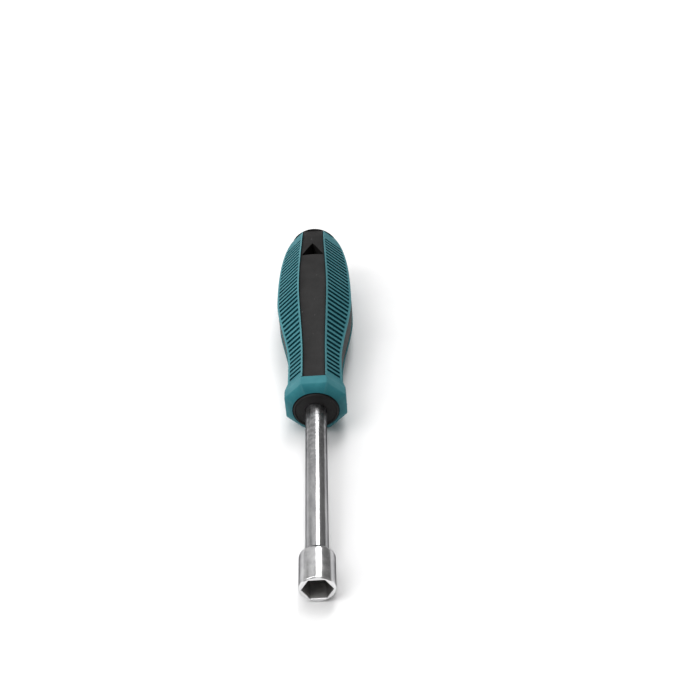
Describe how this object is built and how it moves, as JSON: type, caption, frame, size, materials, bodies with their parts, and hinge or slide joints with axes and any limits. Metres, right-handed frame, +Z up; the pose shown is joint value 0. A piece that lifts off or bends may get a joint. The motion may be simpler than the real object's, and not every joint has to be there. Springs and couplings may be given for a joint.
{
  "type": "nut driver",
  "caption": "Fixed hex nut driver: satin steel socket and hollow shank in a waisted overmoulded handle with ribbed soft strips, an octagonal collar and a hanging hole.",
  "frame": {"origin": "centre of the socket's mouth, on the tool's axis", "axes": "+Y along the tool's axis from the socket towards the handle, +Z up through a panel that carries the hanging hole, +X through a side panel"},
  "size_m": [0.0324, 0.208, 0.0324],
  "materials": {
    "socket_chrome": "satin chrome with a fine grain",
    "shank_chrome": "drawn and satin chromed",
    "charcoal_plastic": "fine spark-eroded texture",
    "teal_rubber": "soft and slightly dusty"
  },
  "bodies": {
    "root": {"socket_head": "socket_chrome", "shaft": "shank_chrome", "handle_core": "charcoal_plastic", "soft_grip": "teal_rubber"}
  },
  "joints": []
}
